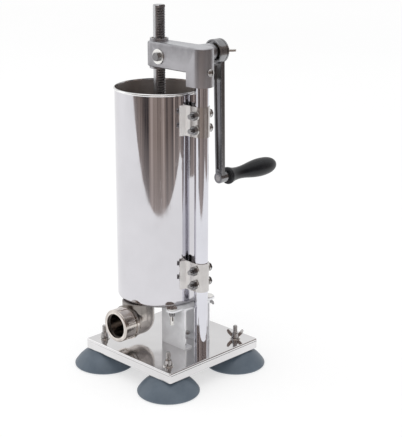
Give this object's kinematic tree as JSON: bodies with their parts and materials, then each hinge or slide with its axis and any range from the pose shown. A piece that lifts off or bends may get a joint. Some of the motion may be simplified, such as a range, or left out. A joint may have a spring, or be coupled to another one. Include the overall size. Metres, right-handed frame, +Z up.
{
  "type": "vertical sausage stuffer",
  "caption": "Hand-cranked vertical sausage stuffer: a rack drives a piston down a steel cylinder and meat leaves through a threaded outlet.",
  "frame": {"origin": "on the cylinder's axis, at the level of the table that the suction feet stand on", "axes": "+Z up along the cylinder, +X from the cylinder to the post, -Y the way the meat leaves the outlet, +Y towards the crank"},
  "size_m": [0.2012, 0.2866, 0.4687],
  "materials": {
    "mirror_steel": "mirror-polished stainless sheet",
    "post_chrome": "bright chrome",
    "strap_steel": "satin stainless sheet",
    "zinc_fastener": "bright zinc",
    "foot_rubber": "soft blue-grey rubber",
    "outlet_steel": "polished casting",
    "seal_silicone": "soft food-safe silicone",
    "cast_aluminium": "fine sand-cast and tumbled",
    "bronze_bush": "machined bronze",
    "gear_steel": "machined",
    "rack_steel": "plated bar with cut teeth",
    "piston_steel": "pressed stainless",
    "crank_metal": "polished casting",
    "grip_plastic": "moulded, half gloss"
  },
  "bodies": {
    "frame": {"base_plate": "mirror_steel", "bracket": "strap_steel", "bracket_nuts": "zinc_fastener", "bracket_screws": "zinc_fastener", "clamp_strap_lower": "strap_steel", "clamp_strap_upper": "strap_steel", "crank_bush_inner": "bronze_bush", "crank_bush_middle": "bronze_bush", "crank_bush_outer": "bronze_bush", "cylinder": "mirror_steel", "cylinder_floor": "mirror_steel", "cylinder_tab_washers": "zinc_fastener", "cylinder_tabs": "strap_steel", "foot_studs": "zinc_fastener", "foot_washers": "zinc_fastener", "head_casting": "cast_aluminium", "outlet_elbow": "outlet_steel", "outlet_seal": "seal_silicone", "pinion_axle_bolt": "zinc_fastener", "pinion_axle_nut": "zinc_fastener", "pinion_axle_washers": "zinc_fastener", "post": "post_chrome", "post_foot_bolt": "zinc_fastener", "post_foot_plug": "zinc_fastener", "post_foot_washer": "zinc_fastener", "post_set_screw": "zinc_fastener", "rod_guides": "bronze_bush", "strap_bolts": "zinc_fastener", "strap_nuts": "zinc_fastener", "strap_washers": "zinc_fastener", "suction_foot_back_left": "foot_rubber", "suction_foot_back_right": "foot_rubber", "suction_foot_front_left": "foot_rubber", "suction_foot_front_right": "foot_rubber"},
    "rack": {"rack_rod": "rack_steel", "piston_lower_plate": "piston_steel", "piston_upper_plate": "piston_steel", "piston_rod_socket": "piston_steel", "piston_seal": "seal_silicone", "piston_screw": "zinc_fastener", "air_valve": "zinc_fastener", "air_valve_nut": "zinc_fastener"},
    "pinion": {"rack_pinion": "gear_steel", "pinion_gear": "gear_steel"},
    "crank": {"crank_shaft": "gear_steel", "crank_gear": "gear_steel", "crank_arm": "crank_metal", "crank_washer": "zinc_fastener", "grip_pin": "zinc_fastener", "grip_clip": "zinc_fastener"},
    "grip": {"grip": "grip_plastic"},
    "crank_wing_nut": {"crank_wing_nut": "zinc_fastener"},
    "outlet_ring": {"outlet_ring_nut": "outlet_steel"},
    "foot_nut_front_left": {"foot_wing_nut_front_left": "zinc_fastener"},
    "foot_nut_front_right": {"foot_wing_nut_front_right": "zinc_fastener"},
    "foot_nut_back_left": {"foot_wing_nut_back_left": "zinc_fastener"},
    "foot_nut_back_right": {"foot_wing_nut_back_right": "zinc_fastener"},
    "cylinder_nut_front": {"cylinder_wing_nut_front": "zinc_fastener"},
    "cylinder_nut_back": {"cylinder_wing_nut_back": "zinc_fastener"}
  },
  "joints": [
    {"name": "crank_turn", "type": "hinge", "parent": "frame", "child": "crank", "pos_m": [0.03872, 0.055, 0.4088], "axis": [0, 1, 0], "range_deg": [-1344.94, 301.56]},
    {"name": "pinion_turn", "type": "hinge", "parent": "frame", "child": "pinion", "pos_m": [0.01375, 0, 0.4075], "axis": [0, 1, 0], "range_deg": [-302.56, 1345.94]},
    {"name": "rack_slide", "type": "slide", "parent": "frame", "child": "rack", "axis": [0, 0, 1], "range_m": [-0.0502, 0.2232]},
    {"name": "grip_spin", "type": "hinge", "parent": "crank", "child": "grip", "pos_m": [0.03872, 0.0835, 0.242], "axis": [0, 1, 0], "continuous": true},
    {"name": "crank_nut_turn", "type": "hinge", "parent": "crank", "child": "crank_wing_nut", "pos_m": [0.03872, 0.0724, 0.4088], "axis": [0, 1, 0], "range_deg": [-180, 0]},
    {"name": "outlet_ring_turn", "type": "hinge", "parent": "frame", "child": "outlet_ring", "pos_m": [0, -0.081, 0.0652], "axis": [0, -1, 0], "range_deg": [0, 180]},
    {"name": "foot_nut_turn_front_left", "type": "hinge", "parent": "frame", "child": "foot_nut_front_left", "pos_m": [-0.035, -0.07, 0.0365], "axis": [0, 0, 1], "range_deg": [0, 180]},
    {"name": "foot_nut_turn_front_right", "type": "hinge", "parent": "frame", "child": "foot_nut_front_right", "pos_m": [0.087, -0.07, 0.0365], "axis": [0, 0, 1], "range_deg": [0, 180]},
    {"name": "foot_nut_turn_back_left", "type": "hinge", "parent": "frame", "child": "foot_nut_back_left", "pos_m": [-0.035, 0.052, 0.0365], "axis": [0, 0, 1], "range_deg": [0, 180]},
    {"name": "foot_nut_turn_back_right", "type": "hinge", "parent": "frame", "child": "foot_nut_back_right", "pos_m": [0.087, 0.052, 0.0365], "axis": [0, 0, 1], "range_deg": [0, 180]},
    {"name": "cylinder_nut_turn_front", "type": "hinge", "parent": "frame", "child": "cylinder_nut_front", "pos_m": [0.0555, -0.033, 0.0872], "axis": [0, 0, -1], "range_deg": [0, 180]},
    {"name": "cylinder_nut_turn_back", "type": "hinge", "parent": "frame", "child": "cylinder_nut_back", "pos_m": [0.0555, 0.033, 0.0872], "axis": [0, 0, -1], "range_deg": [0, 180]}
  ],
  "couplings": [
    {"joint": "pinion_turn", "follows": "crank_turn", "ratio": -1},
    {"joint": "rack_slide", "follows": "crank_turn", "m_per_rad": -0.0095}
  ]
}
